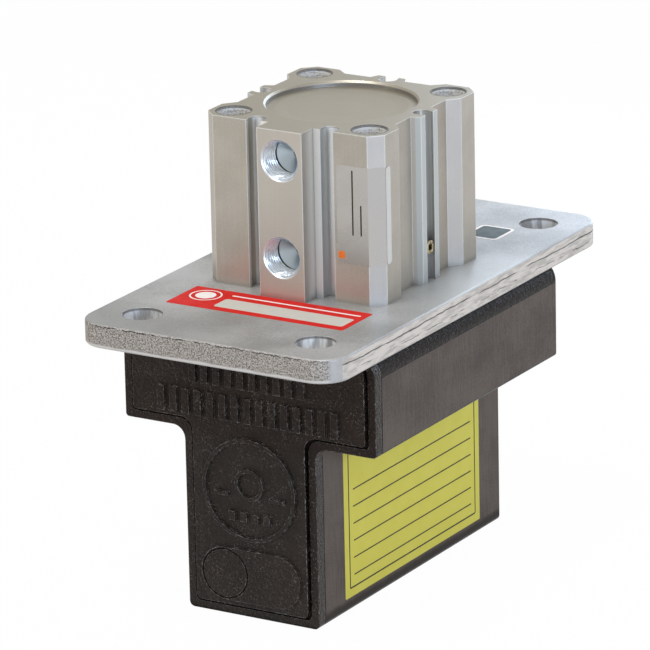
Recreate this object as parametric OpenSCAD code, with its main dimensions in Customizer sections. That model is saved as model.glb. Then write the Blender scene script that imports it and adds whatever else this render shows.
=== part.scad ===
// Magnetic gripper for a robot arm. A compact air cylinder lifts a rare-earth magnet
// carriage inside a closed T-shaped housing that hangs under a mounting plate.
// Millimetres, +Z up. The origin is the centre of the housing's working face, and the
// carriage is drawn at rest, lowered onto that face.

/* [Mounting plate] */
// Width of the plate along X
plate_w = 76.2; // [74.6:0.1:90]
// Length of the plate along Y
plate_l = 139.7; // [136:0.1:180]
// Thickness of the plate
plate_t = 6.35; // [6:0.05:10]
// Radius of the plate's four corners
plate_r = 7.9; // [4:0.1:14]
// Leg of the broken edges all round the plate
plate_edge = 0.4; // [0.2:0.1:1.2]
// Distance of each mounting hole from the plate's two nearest edges
bolt_inset = 12.7; // [10:0.1:14]
// Diameter of the mounting holes
bolt_d = 10.3; // [6:0.1:11]
// Diameter of the hole that the piston rod passes through
rod_hole_d = 20; // [18:0.5:24]

/* [Cylinder body] */
// Bore of the cylinder
bore_d = 40; // [38:0.1:44]
// Thickness from the bore out to the faces of the corner posts
body_wall = 6; // [5.8:0.1:7]
// Distance from the centre of a corner hole to the nearest side of the body
post_side = 6; // [5.8:0.1:7]
// Height of the body before the stroke is added
cyl_base = 29.5; // [29:0.1:34]
// Travel of the piston and the magnet carriage
stroke = 15; // [8:0.5:25]
// Width of each corner post's flat face, counted from the body's corner
post_w = 10; // [9:0.1:10.5]
// How far the sloping flank of each post runs on from there
post_flank = 3.2; // [2:0.1:4]
// Leg of the chamfer on each corner post
post_chamfer = 3.3; // [1.5:0.1:3.6]
// Depth of the recess between the corner posts
recess = 2.7; // [2:0.1:3]
// Half width of the raised lips on each side of a sensor slot
lip_half = 4.1; // [3.6:0.1:4.4]
// How far the lips' outer flanks run out
lip_run = 1.1; // [0.5:0.1:2]
// How far the lips stand back from the posts
lip_drop = 0.25; // [0.1:0.05:1.2]
// Width of the sensor slots
slot_w = 4; // [3.6:0.1:4.2]
// Width of the boss that holds the ports
boss_w = 13.2; // [12.6:0.1:14]
// How far the boss stands out from the body
boss_out = 5; // [4:0.1:7]
// Diameter of the through holes in the posts
through_d = 5.5; // [5:0.1:5.6]
// Diameter of the counterbores at the top of the posts
cbore_d = 9; // [8:0.1:9.6]
// Depth of those counterbores
cbore_h = 7; // [4:0.1:12]

/* [Ports] */
// Diameter of the two threaded ports
port_d = 10.3; // [8.6:0.1:10.8]
// Depth of the port thread
port_l = 6.5; // [4.5:0.1:7]
// Height of the lower port above the body's foot
port_low = 11; // [10.6:0.1:11.4]
// Distance of the upper port below the body's top
port_top = 8; // [7.6:0.1:8.4]
// Diameter of the air passage behind each port
passage_d = 2.4; // [2:0.1:3.4]
// Height of the slot screw above the body's foot
slot_screw_z = 9; // [4:0.5:20]

/* [Cylinder inside] */
// How far the head cover lies below the body's top
cover_sink = 1.5; // [1:0.1:2]
// Thickness of the head cover
cover_t = 6; // [5.6:0.1:7]
// Width of the lip that holds the head cover down
cover_lip = 0.5; // [0.3:0.05:1]
// Thickness of the retaining ring
ring_t = 1.7; // [1.2:0.1:2]
// Height of the ring above the body's foot
ring_seat = 1; // [0.8:0.1:1.4]
// Thickness of the rod cover
collar_t = 8.8; // [8.4:0.1:9.4]
// Diameter of the rod bush
bush_d = 24; // [22:0.5:26]
// Width across the flats of the hexagonal rod
rod_af = 14; // [12:0.5:15]
// Diameter of the rod's screwed end
rod_thread = 14; // [10:0.5:14]
// Width across the flats of the nut on top of the piston
piston_nut_af = 17; // [16:0.5:18]
// Diameter of the rod's spigot in the piston
spigot_d = 10; // [8:0.5:12]
// Height of the rod nut
nut_h = 8; // [6:0.5:10]
// Width across the flats of the rod nut
nut_af = 22; // [20:0.5:24]

/* [Housing] */
// Width of the housing's head
head_w = 74.2; // [70:0.1:74.6]
// Height of the head
head_h = 24.7; // [20:0.1:28]
// Width of the housing's stem
stem_w = 38.8; // [37:0.1:42]
// How far the plate runs past each end of the moulded housing
plate_over = 24.6; // [22:0.1:27]
// Thickness of the stem's side walls
side_wall = 3.9; // [3:0.1:4.5]
// Thickness of the floor under the magnets
floor_t = 2.4; // [1.5:0.1:4]
// Thickness of the rear wall and of the front cap's spigot
end_wall = 4; // [3:0.1:6]
// Radius of the stem's lower long edges
stem_edge = 1.5; // [0.8:0.1:2.5]
// Radius of the head's lower long edges
head_edge = 1; // [0.5:0.1:2]
// Radius between the head and the stem
house_fillet = 1.5; // [0.8:0.1:3]
// Height of the rounded shoulder along the top of the head
brow_h = 4; // [2:0.1:5]
// Radius of that shoulder
brow_r = 5.6; // [5.1:0.1:8]
// Distance of the housing screws from the ends of the housing
house_screw_end = 11.25; // [9:0.25:16]
// Thickness of the gasket between the housing and the plate
gasket_t = 0.5; // [0.3:0.1:1.5]

/* [Front cap] */
// Thickness of the cap's flange
cap_t = 3.2; // [2:0.1:5]
// Radius between the flange's head and stem
cap_fillet = 3.5; // [2:0.1:5]
// Margin between the flange's edge and the raised panel
panel_margin = 2.8; // [2:0.1:4]
// How far the panel stands out of the flange
panel_out = 0.8; // [0.4:0.1:1.5]
// Height of the lower row of ribs, under the head's top
rib_h = 6.8; // [5:0.1:8]
// Height of the upper row of ribs
rib_top_h = 4.9; // [3:0.1:6]
// Gap between the two rows
rib_gap = 2.1; // [1:0.1:3]
// Width and depth of the groove around the panel
groove = 0.6; // [0.3:0.1:1]
// Outer diameter of the raised ring
ring_d = 27.6; // [20:0.1:29]
// Width of the raised ring
ring_w = 1.1; // [0.6:0.1:2]
// Height of the ring's centre above the working face
ring_z = 34.6; // [33.5:0.1:36]
// Outer diameter of the small ring inside it
hub_d = 8.6; // [6:0.1:12]
// Width of the oval pad
pad_w = 29.6; // [20:0.1:31]
// Height of the oval pad
pad_h = 14.4; // [10:0.1:15]
// Height of the pad's centre above the working face
pad_z = 11.3; // [10.8:0.1:12]
// How far the ring, the pad and the ribs stand out of the panel
relief = 0.5; // [0.2:0.1:1]

/* [Magnet carriage] */
// Height of the carriage block
yoke_h = 15.5; // [12:0.5:20]
// Height of the pole plates
pole_h = 32; // [26:0.5:36]
// Thickness of each magnet
mag_t = 5; // [3:0.5:7]
// Number of magnets in each row
mag_n = 4; // [2:1:6]
// How far the magnets stand back from the poles' working ends
mag_back = 1.5; // [0.5:0.1:3]
// Distance of the pole screws from the ends of the poles
pole_screw_end = 12; // [8:0.5:16]
// Gap between the poles and the floor of the housing
lift_gap = 0.3; // [0.2:0.1:1]
// Thickness of the glide strips on the carriage
glide_t = 1; // [0.5:0.1:2]
// Gap left above the rod nut when the carriage is up
top_gap = 0.65; // [0.4:0.05:2]

/* [Fits] */
// Clearance of a turned piece in its hole, on the radius
fit = 0.05; // [0.03:0.01:0.08]
// Gap between the carriage and the walls that guide it
slide_gap = 0.25; // [0.15:0.05:0.4]
// Gap between the piston and each end of its chamber
end_gap = 0.15; // [0.05:0.05:0.4]

/* [Hidden] */
$fn = 64;
eps = 0.01;
// How far a cut runs on past the face it opens
over = 1;

// Outlines that follow from the sizes above
cyl_w = bore_d + 2 * body_wall;
post_pitch = cyl_w - 2 * post_side;
house_l = plate_l - 2 * plate_over;

// Heights, from the working face up
pole_z = floor_t + lift_gap;
yoke_z = pole_z + pole_h;
nut_z = yoke_z + yoke_h;
shoulder_z = nut_z + nut_h;
plate_z = shoulder_z + stroke + top_gap;
house_top = plate_z - gasket_t;
head_z = house_top - head_h;
cyl_z = plate_z + plate_t;
cyl_h = cyl_base + stroke;

// Cylinder stack, measured from the foot of the body
groove_top = ring_seat + ring_t + fit;
collar_top = groove_top + collar_t;
cover_bot = cyl_h - cover_sink - cover_t;
piston_z = cyl_z + collar_top + end_gap;
piston_t = cover_bot - collar_top - stroke - 2 * end_gap;
seat_step = 0.4;
snap_step = 1.1;
seat_d = bore_d + 2 * seat_step;
snap_d = bore_d + 2 * snap_step;
seat_h = groove_top + collar_t / 2;
step_h = 2.2;
step_in = 3;
step_d = bore_d - 2 * step_in;

// O-rings and seals
oring = 1.8;
seal_w = 3.2;
seal_deep = 3;
wear_w = 2.4;
wear_deep = 1.5;

// Plan of the mounting plate
bolt_x = plate_w - 2 * bolt_inset;
bolt_y = plate_l - 2 * bolt_inset;

// Sensor slots
face = cyl_w / 2;
slot_under = 0.4;
slot_wall = 1.3;
side_lip = 2.1;
slot_r = slot_w / 2 + slot_under;
slot_depth = face - bore_d / 2 - slot_wall;
side_slot_x = boss_w / 2 + side_lip + slot_w / 2;

// Cavity and carriage plan
cav_w = stem_w - 2 * side_wall;
cav_l = house_l - 2 * end_wall;
yoke_w = cav_w - 2 * (slide_gap + glide_t);
yoke_l = cav_l - 2 * slide_gap;
pole_t = (yoke_w - 2 * mag_t) / 3;
pole_pitch = pole_t + mag_t;

// M6 screws: shank, countersunk head, socket head
m6 = 3;
m6_sink_r = 6;
m6_sink_h = 3;
m6_head_r = 5;
m6_head_h = 6;
m6_key = 5;
m6_sink_key = 4;
m6_sink_key_h = 2.4;
post_grip = 10;
tap_over = 2;
house_screw_x = (head_w + stem_w) / 4;
house_screw_y = house_l / 2 - house_screw_end;
house_cbore = 6.6;
plate_bite = plate_t - 1.2;

// M3 screws that hold the pole plates
m3 = 1.5;
m3_head_r = 2.75;
m3_head_h = 3;
m3_key = 2.5;
m3_bite = 9;
pole_screw_in = 0.5;
pole_screw_y = yoke_l / 2 - pole_screw_end;

// Colours of the real finishes
satin = [0.74, 0.73, 0.70];
bright = [0.80, 0.82, 0.84];
steel = [0.55, 0.56, 0.58];
moulded = [0.16, 0.15, 0.14];
rubber = [0.08, 0.08, 0.08];
brass = [0.72, 0.56, 0.26];
nickel = [0.68, 0.69, 0.71];
bronze = [0.60, 0.45, 0.25];
glide = [0.90, 0.90, 0.86];

// Shapes that several pieces share

// Copies the children to the four corners of a rectangle centred on the axis
module corners(dx, dy) {
    for (sx = [-1, 1], sy = [-1, 1]) translate([sx * dx / 2, sy * dy / 2]) children();
}

// Ring of rectangular section about the Z axis
module band(outer_r, inner_r, h) {
    rotate_extrude() translate([inner_r, 0]) square([outer_r - inner_r, h]);
}

// Hexagonal prism, measured across its flats
module hex(af, h) {
    cylinder(d = af / cos(30), h = h, $fn = 6);
}

// Bar of length l along Y with its four long edges broken
module broken_bar(w, l, t, c) {
    translate([0, l / 2, 0]) rotate([90, 0, 0]) linear_extrude(l) polygon([
        [-w / 2 + c, 0], [w / 2 - c, 0], [w / 2, c], [w / 2, t - c],
        [w / 2 - c, t], [-w / 2 + c, t], [-w / 2, t - c], [-w / 2, c]
    ]);
}

// Socket-head screw, head up, its seat at z = 0 and its shank below
module socket_screw(r, l, head_r, head_h, key_af) {
    difference() {
        union() {
            translate([0, 0, -l]) cylinder(r = r, h = l + eps);
            cylinder(r = head_r, h = head_h);
        }
        translate([0, 0, head_h / 2]) hex(key_af, head_h);
    }
}

// Half of a T outline's lower corner: a strip of half width w from z0 to z1 whose
// two lower corners have radius r
module strip_2d(w, z0, z1, r) {
    translate([-w, z0 + r]) square([2 * w, z1 - z0 - r]);
    translate([-w + r, z0]) square([2 * (w - r), r + eps]);
    for (s = [-1, 1]) translate([s * (w - r), z0 + r]) circle(r);
}

// T outline in X and Z. m draws it smaller by a margin all round but at the top
module tee_2d(fillet, m) {
    hw = head_w / 2 - m;
    sw = stem_w / 2 - m;
    strip_2d(sw, m, head_z + m + eps, stem_edge);
    intersection() {
        strip_2d(hw, head_z + m, house_top - m / 2, head_edge);
        brow_2d(hw);
    }
    for (s = [-1, 1]) difference() {
        translate([s * (sw + fillet / 2), head_z + m - fillet / 2 + eps])
            square(fillet + 2 * eps, center = true);
        translate([s * (sw + fillet), head_z + m - fillet]) circle(fillet);
    }
}

// Everything that lies inside the two rounded shoulders of the head
module brow_2d(hw) {
    translate([-hw, 0]) square([2 * hw, house_top - brow_h]);
    translate([-hw + brow_r, 0]) square([2 * (hw - brow_r), house_top]);
    for (s = [-1, 1]) translate([s * (hw - brow_r), house_top - brow_h]) circle(brow_r);
}

// Stands an outline drawn in X and Z upright, from y0 to y1
module upright(y0, y1) {
    translate([0, y1, 0]) rotate([90, 0, 0]) linear_extrude(y1 - y0) children();
}

// Mounting plate

module mounting_plate() {
    color(bright) translate([0, 0, plate_z]) difference() {
        union() {
            broken_bar(plate_w, plate_l - 2 * plate_r, plate_t, plate_edge);
            rotate(90) broken_bar(plate_l, plate_w - 2 * plate_r, plate_t, plate_edge);
            corners(plate_w - 2 * plate_r, plate_l - 2 * plate_r)
                rotate_extrude() polygon([
                    [0, 0], [plate_r - plate_edge, 0], [plate_r, plate_edge],
                    [plate_r, plate_t - plate_edge], [plate_r - plate_edge, plate_t],
                    [0, plate_t]
                ]);
        }
        corners(bolt_x, bolt_y) translate([0, 0, -over]) cylinder(d = bolt_d, h = plate_t + 2 * over);
        translate([0, 0, -over]) cylinder(d = rod_hole_d, h = plate_t + 2 * over);
        corners(post_pitch, post_pitch) {
            translate([0, 0, -over]) cylinder(r = m6 + fit, h = plate_t + 2 * over);
            translate([0, 0, -eps])
                cylinder(r1 = m6_sink_r + fit, r2 = m6 + fit, h = m6_sink_h + fit);
        }
        corners(2 * house_screw_x, 2 * house_screw_y)
            translate([0, 0, -over]) cylinder(r = m6 + fit, h = plate_bite + over);
    }
}

// Cylinder

// Recess between two posts with the two lips of a sensor slot, on the +X side
module recess_2d() {
    floor_x = face - recess;
    lip_x = face - lip_drop;
    post_y = face - post_w;
    for (s = [-1, 1]) scale([1, s]) polygon([
        [face + over, post_y + over * post_flank / recess], [face + over, 0], [lip_x, 0],
        [lip_x, lip_half], [floor_x, lip_half + lip_run], [floor_x, post_y - post_flank]
    ]);
}

// Sensor slot: a narrow mouth over a round-bottomed channel, opening towards +X
module slot_2d(mouth_x) {
    bottom_x = face - slot_depth;
    translate([bottom_x + slot_r, -slot_w / 2]) square([mouth_x - bottom_x, slot_w]);
    translate([bottom_x + slot_r, 0]) circle(slot_r);
}

// Outline of the extruded cylinder body, with the port boss towards -Y
module cylinder_2d() {
    shelf = 0.6;
    difference() {
        union() {
            difference() {
                square(cyl_w, center = true);
                for (a = [0, 90, 180]) rotate(a) recess_2d();
                translate([-side_slot_x - slot_w / 2, -face - over])
                    square([2 * side_slot_x + slot_w, shelf + over]);
            }
            translate([-boss_w / 2, -face - boss_out]) square([boss_w, face]);
        }
        for (a = [0, 90, 180]) rotate(a) slot_2d(face);
        for (s = [-1, 1]) translate([s * side_slot_x, 0]) rotate(-90) slot_2d(face);
        for (sx = [-1, 1], sy = [-1, 1]) translate([sx * face, sy * face])
            rotate(45) square(post_chamfer * sqrt(2), center = true);
    }
}

// One port: thread, drill cone and air passage, running from the boss into the bore
module port_cut() {
    mouth = face + boss_out;
    drill_point = 59;
    cone = (port_d - passage_d) / 2 / tan(drill_point);
    rim = 0.4;
    rotate([90, 0, 0]) {
        translate([0, 0, mouth - port_l]) cylinder(d = port_d, h = port_l + over);
        translate([0, 0, mouth - port_l - cone])
            cylinder(d1 = passage_d, d2 = port_d, h = cone + eps);
        translate([0, 0, bore_d / 2 - 2]) cylinder(d = passage_d, h = face);
        translate([0, 0, mouth - rim])
            cylinder(d1 = port_d, d2 = port_d + 2 * rim, h = rim + eps);
    }
}

module cylinder_body() {
    lip_d = bore_d - 2 * cover_lip;
    bevel = 0.5;
    color(satin) translate([0, 0, cyl_z]) difference() {
        linear_extrude(cyl_h) cylinder_2d();
        translate([0, 0, -over]) cylinder(d = bore_d, h = cyl_h - cover_sink + over);
        translate([0, 0, -over]) cylinder(d = seat_d, h = seat_h + over);
        translate([0, 0, ring_seat]) cylinder(d = snap_d, h = ring_t + fit);
        cylinder(d = lip_d, h = cyl_h + over);
        translate([0, 0, cyl_h - bevel])
            cylinder(d1 = lip_d, d2 = lip_d + 2 * bevel, h = bevel + eps);
        for (z = [port_low, cyl_h - port_top]) translate([0, 0, z]) port_cut();
        corners(post_pitch, post_pitch) {
            translate([0, 0, -over]) cylinder(d = through_d, h = cyl_h + 2 * over);
            translate([0, 0, -over]) cylinder(r = m6 + fit, h = post_grip + over + tap_over);
            translate([0, 0, cyl_h - cbore_h]) cylinder(d = cbore_d, h = cbore_h + over);
        }
    }
}

// Groove for an O-ring cut into a disc of radius r, centred at height z
module oring_groove(r, z) {
    translate([0, 0, z - oring / 2 - fit]) band(r + over, r - oring + fit, oring + 2 * fit);
}

// O-ring that fills such a groove up to the wall of radius wall_r
module oring_at(wall_r, disc_r, z) {
    inner = disc_r - oring + 2 * fit;
    outer = wall_r - fit;
    translate([0, 0, z]) rotate_extrude() intersection() {
        translate([(inner + outer) / 2, 0]) circle(d = oring + 0.3, $fn = 32);
        translate([inner, -oring / 2]) square([outer - inner, oring]);
    }
}

cover_r = bore_d / 2 - fit;
cover_seal_z = cover_t - 2;

module head_cover() {
    dish = 0.45;
    color(satin) translate([0, 0, cyl_z + cover_bot]) difference() {
        rotate_extrude() polygon([
            [0, 0], [step_d / 2, 0], [step_d / 2, step_h], [cover_r, step_h],
            [cover_r, cover_t], [cover_r * 0.86, cover_t], [cover_r * 0.7, cover_t - dish / 2],
            [cover_r * 0.35, cover_t - dish], [0, cover_t - dish]
        ]);
        oring_groove(cover_r, cover_seal_z);
    }
}

module head_cover_seal() {
    color(rubber) translate([0, 0, cyl_z + cover_bot])
        oring_at(bore_d / 2, cover_r, cover_seal_z);
}

// The rod cover's wide foot sits against a step in the body, its O-ring above that
collar_r = bore_d / 2 - fit;
collar_seal_z = (seat_h - groove_top + collar_t - step_h) / 2;

module rod_cover() {
    foot_h = seat_h - groove_top;
    color(satin) translate([0, 0, cyl_z + groove_top]) difference() {
        union() {
            cylinder(d = seat_d - 2 * fit, h = foot_h);
            cylinder(r = collar_r, h = collar_t - step_h);
            cylinder(d = step_d, h = collar_t);
        }
        translate([0, 0, -over]) cylinder(d = bush_d, h = collar_t + 2 * over);
        oring_groove(collar_r, collar_seal_z);
    }
}

module rod_cover_seal() {
    color(rubber) translate([0, 0, cyl_z + groove_top])
        oring_at(bore_d / 2, collar_r, collar_seal_z);
}

// Bush with the hexagonal hole that keeps the rod from turning
seal_h = 3;

module rod_bush() {
    color(bronze) translate([0, 0, cyl_z + groove_top]) difference() {
        cylinder(d = bush_d - 2 * fit, h = collar_t - seal_h);
        translate([0, 0, -over]) hex(rod_af + 2 * fit, collar_t);
    }
}

module rod_seal() {
    color(rubber) translate([0, 0, cyl_z + collar_top - seal_h]) difference() {
        cylinder(d = bush_d - 2 * fit, h = seal_h);
        translate([0, 0, -over]) hex(rod_af + 2 * fit, seal_h + 2 * over);
    }
}

// Spring ring: open at the front, with an eye at each end for the pliers
module retaining_ring() {
    outer_r = snap_d / 2 - fit;
    snap_w = 3;
    inner_r = outer_r - snap_w;
    eye_r = 2.2;
    mouth = 20;
    color(steel) translate([0, 0, cyl_z + ring_seat]) difference() {
        union() {
            rotate(mouth / 2 - 90) rotate_extrude(angle = 360 - mouth)
                translate([inner_r, 0]) square([outer_r - inner_r, ring_t]);
            for (s = [-1, 1]) rotate(s * (mouth / 2 + 5) - 90)
                translate([inner_r + 0.4, 0, 0]) cylinder(r = eye_r, h = ring_t);
        }
        for (s = [-1, 1]) rotate(s * (mouth / 2 + 5) - 90)
            translate([inner_r, 0, -over]) cylinder(r = 0.9, h = ring_t + 2 * over);
    }
}

// Brass screw in the foot of the sensor slot on the +X side
module slot_screw() {
    screw_r = slot_w / 2 - 0.2;
    slot_x = face - slot_depth;
    tip = 0.65;
    shank_x = slot_x + slot_r - sqrt(slot_r * slot_r - screw_r * screw_r) + 0.1;
    tip_r = screw_r / 2;
    tip_x = slot_x + slot_r - sqrt(slot_r * slot_r - tip_r * tip_r) + 0.05;
    mouth_x = face - lip_drop - 0.3;
    color(brass) translate([0, 0, cyl_z + slot_screw_z]) rotate([0, 90, 0]) difference() {
        union() {
            translate([0, 0, shank_x]) cylinder(r = screw_r, h = mouth_x - shank_x);
            translate([0, 0, tip_x]) cylinder(r = tip_r, h = shank_x - tip_x + eps);
        }
        translate([0, 0, mouth_x - 2 * tip]) hex(screw_r, 2 * tip + over);
    }
}

module cylinder_screws() {
    color(steel) translate([0, 0, plate_z]) corners(post_pitch, post_pitch) difference() {
        union() {
            cylinder(r = m6, h = plate_t + post_grip);
            cylinder(r1 = m6_sink_r, r2 = m6, h = m6_sink_h);
        }
        translate([0, 0, -eps]) hex(m6_sink_key, m6_sink_key_h);
    }
}

// Housing

module housing() {
    color(moulded) difference() {
        upright(-house_l / 2, house_l / 2) tee_2d(house_fillet, 0);
        translate([-cav_w / 2, -house_l / 2 - over, floor_t])
            cube([cav_w, house_l / 2 + over + cav_l / 2, house_top]);
        corners(2 * house_screw_x, 2 * house_screw_y) {
            translate([0, 0, head_z - over]) cylinder(r = m6 + 0.3, h = head_h + 2 * over);
            translate([0, 0, head_z - over]) cylinder(r = m6_head_r + 0.3, h = house_cbore + over);
        }
    }
}

// Row of n short upright ribs, w wide overall, from z0 to z1
module rib_row(n, w, z0, z1) {
    pitch = w / n;
    for (i = [0 : n - 1]) translate([-w / 2 + pitch * (i + 0.2), z0])
        square([pitch * 0.6, z1 - z0]);
}

// Flat ring of outer diameter d and width w
module ring_2d(d, w) {
    difference() {
        circle(d = d);
        circle(d = d - 2 * w);
    }
}

// Oval pad outline: two round ends joined by a bar
module pad_2d(w, h) {
    square([w - h, h], center = true);
    for (s = [-1, 1]) translate([s * (w - h) / 2, 0]) circle(d = h);
}

module front_cap() {
    y_flange = -house_l / 2 - cap_t;
    y_panel = y_flange - panel_out;
    y_top = y_panel - relief;
    line = 0.35;
    hub_up = 1.5;
    rib_low = head_z + panel_margin + relief * 2;
    rib_top = rib_low + rib_h + rib_gap;
    color(moulded) difference() {
        union() {
            upright(y_flange, -house_l / 2) tee_2d(cap_fillet, 0);
            upright(y_panel, y_flange + eps) tee_2d(cap_fillet, panel_margin);
            upright(y_top, y_panel + eps) {
                translate([0, ring_z]) {
                    ring_2d(ring_d, ring_w);
                    translate([0, hub_up]) ring_2d(hub_d, ring_w);
                    rib_row(4, hub_d * 1.6, -hub_d, -hub_d * 0.7);
                    for (s = [-1, 1]) translate([s * hub_d * 0.95, -hub_d * 0.2])
                        square([hub_d * 0.5, ring_w], center = true);
                }
                translate([0, pad_z]) pad_2d(pad_w, pad_h);
                rib_row(15, head_w * 0.74, rib_low, rib_low + rib_h);
                rib_row(10, head_w * 0.48, rib_top, rib_top + rib_top_h);
            }
            upright(-house_l / 2 - eps, -house_l / 2 + end_wall)
                translate([-cav_w / 2 + slide_gap / 2, floor_t + slide_gap / 2])
                    square([cav_w - slide_gap, house_top - floor_t - slide_gap / 2]);
        }
        upright(y_flange - eps, y_flange + groove) difference() {
            tee_2d(cap_fillet, panel_margin - groove);
            tee_2d(cap_fillet, panel_margin);
        }
        upright(y_top - eps, y_top + line) translate([-(pad_w - pad_h) / 2, pad_z])
            ring_2d(pad_h - 0.8, line);
    }
}

module housing_gasket() {
    margin = 1.4;
    top_w = head_w - 2 * brow_r;
    color(rubber) translate([0, 0, house_top]) linear_extrude(gasket_t) difference() {
        square([top_w + 2 * margin, house_l - 2 * margin], center = true);
        square([cav_w, cav_l], center = true);
        corners(2 * house_screw_x, 2 * house_screw_y) circle(m6 + 0.3);
    }
}

module housing_screws() {
    grip = house_top + gasket_t - head_z - house_cbore;
    color(steel) corners(2 * house_screw_x, 2 * house_screw_y)
        translate([0, 0, head_z + house_cbore]) rotate([180, 0, 0])
            socket_screw(m6, grip + plate_bite - 0.4, m6_head_r, m6_head_h, m6_key);
}

// Piston and rod

piston_r = bore_d / 2 - fit;
spigot_r = spigot_d / 2;
pocket_r = piston_nut_af / 2 / cos(30) + 1.2;
pocket_h = piston_t * 0.55;
land = (piston_t - seal_w - wear_w) / 3;
wear_z = land;
piston_seal_z = 2 * land + wear_w;

module piston() {
    color(bright) translate([0, 0, piston_z]) difference() {
        cylinder(r = piston_r, h = piston_t);
        translate([0, 0, -over]) cylinder(r = spigot_r + fit, h = piston_t + 2 * over);
        translate([0, 0, piston_t - pocket_h]) cylinder(r = pocket_r, h = piston_t);
        translate([0, 0, wear_z]) band(piston_r + over, piston_r - wear_deep, wear_w);
        translate([0, 0, piston_seal_z]) band(piston_r + over, piston_r - seal_deep, seal_w);
    }
}

// Lip seal: its outer face flares to touch the bore at the pressure side
module piston_seal() {
    r0 = piston_r - seal_deep + fit;
    color(rubber) translate([0, 0, piston_z + piston_seal_z]) rotate_extrude() polygon([
        [r0, 0], [piston_r - 0.5, 0], [piston_r, seal_w / 3], [piston_r, seal_w * 2 / 3],
        [piston_r - 0.5, seal_w], [r0, seal_w]
    ]);
}

module piston_wear_ring() {
    color(glide) translate([0, 0, piston_z + wear_z])
        band(piston_r, piston_r - wear_deep + fit, wear_w);
}

module piston_nut() {
    h = pocket_h - 0.6;
    color(steel) translate([0, 0, piston_z + piston_t - pocket_h]) difference() {
        hex(piston_nut_af, h);
        translate([0, 0, -over]) cylinder(r = spigot_r + fit, h = h + 2 * over);
    }
}

// Hexagonal rod: a round spigot through the piston above, a screwed end below
module piston_rod() {
    end_z = yoke_z + 1.5;
    color(steel) {
        translate([0, 0, shoulder_z]) hex(rod_af, piston_z - shoulder_z);
        translate([0, 0, piston_z - eps]) cylinder(r = spigot_r, h = piston_t - 0.4);
        translate([0, 0, end_z]) cylinder(d = rod_thread, h = shoulder_z - end_z + eps);
    }
}

module rod_nut() {
    color(steel) translate([0, 0, nut_z]) difference() {
        hex(nut_af, nut_h);
        translate([0, 0, -over]) cylinder(r = rod_thread / 2 + fit, h = nut_h + 2 * over);
    }
}

// Magnet carriage

// Places of the screws that hang the three pole plates from the block
module pole_places() {
    for (i = [-1 : 1], s = [-1, 1])
        translate([i * (pole_pitch - pole_screw_in), s * pole_screw_y, 0]) children();
}

module carriage_block() {
    sink = m3_head_h + 0.3;
    color(bright) difference() {
        translate([0, 0, yoke_z]) broken_bar(yoke_w, yoke_l, yoke_h, 0.5);
        translate([0, 0, yoke_z - over]) cylinder(r = rod_thread / 2 + fit, h = yoke_h + 2 * over);
        pole_places() {
            translate([0, 0, yoke_z - over]) cylinder(r = m3 + fit, h = yoke_h + 2 * over);
            translate([0, 0, nut_z - sink]) cylinder(r = m3_head_r + 0.2, h = sink + over);
        }
    }
}

module glide_strips() {
    side_in = 1.5;
    end_in = 4;
    strip_h = yoke_h - 2 * side_in;
    strip_l = yoke_l - 2 * end_in;
    color(glide) for (s = [-1, 1])
        translate([s * (yoke_w + glide_t) / 2, 0, yoke_z + yoke_h / 2])
            cube([glide_t, strip_l, strip_h], center = true);
}

module pole_plates() {
    color(steel) difference() {
        for (i = [-1 : 1]) translate([i * pole_pitch - pole_t / 2, -yoke_l / 2, pole_z])
            cube([pole_t, yoke_l, pole_h]);
        pole_places() translate([0, 0, yoke_z - m3_bite - over])
            cylinder(r = m3 + fit, h = m3_bite + 2 * over);
    }
}

// Two rows of block magnets between the three pole plates
module magnets() {
    gap = 0.3;
    mag_l = (yoke_l - (mag_n - 1) * gap) / mag_n;
    color(nickel) for (s = [-1, 1], i = [0 : mag_n - 1])
        translate([s * pole_pitch / 2 - mag_t / 2, -yoke_l / 2 + i * (mag_l + gap), pole_z + mag_back])
            cube([mag_t, mag_l, pole_h - mag_back]);
}

module pole_screws() {
    color(steel) pole_places() translate([0, 0, nut_z - m3_head_h - 0.3])
        socket_screw(m3, yoke_h - m3_head_h - 0.3 + m3_bite, m3_head_r, m3_head_h, m3_key);
}

mounting_plate();
cylinder_body();
head_cover();
head_cover_seal();
rod_cover();
rod_cover_seal();
rod_bush();
rod_seal();
retaining_ring();
slot_screw();
cylinder_screws();
housing();
front_cap();
housing_gasket();
housing_screws();
piston();
piston_seal();
piston_wear_ring();
piston_nut();
piston_rod();
rod_nut();
carriage_block();
glide_strips();
pole_plates();
magnets();
pole_screws();
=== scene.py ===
import bmesh
import bpy
import math

import numpy as np
from mathutils import Matrix, Vector


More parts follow.
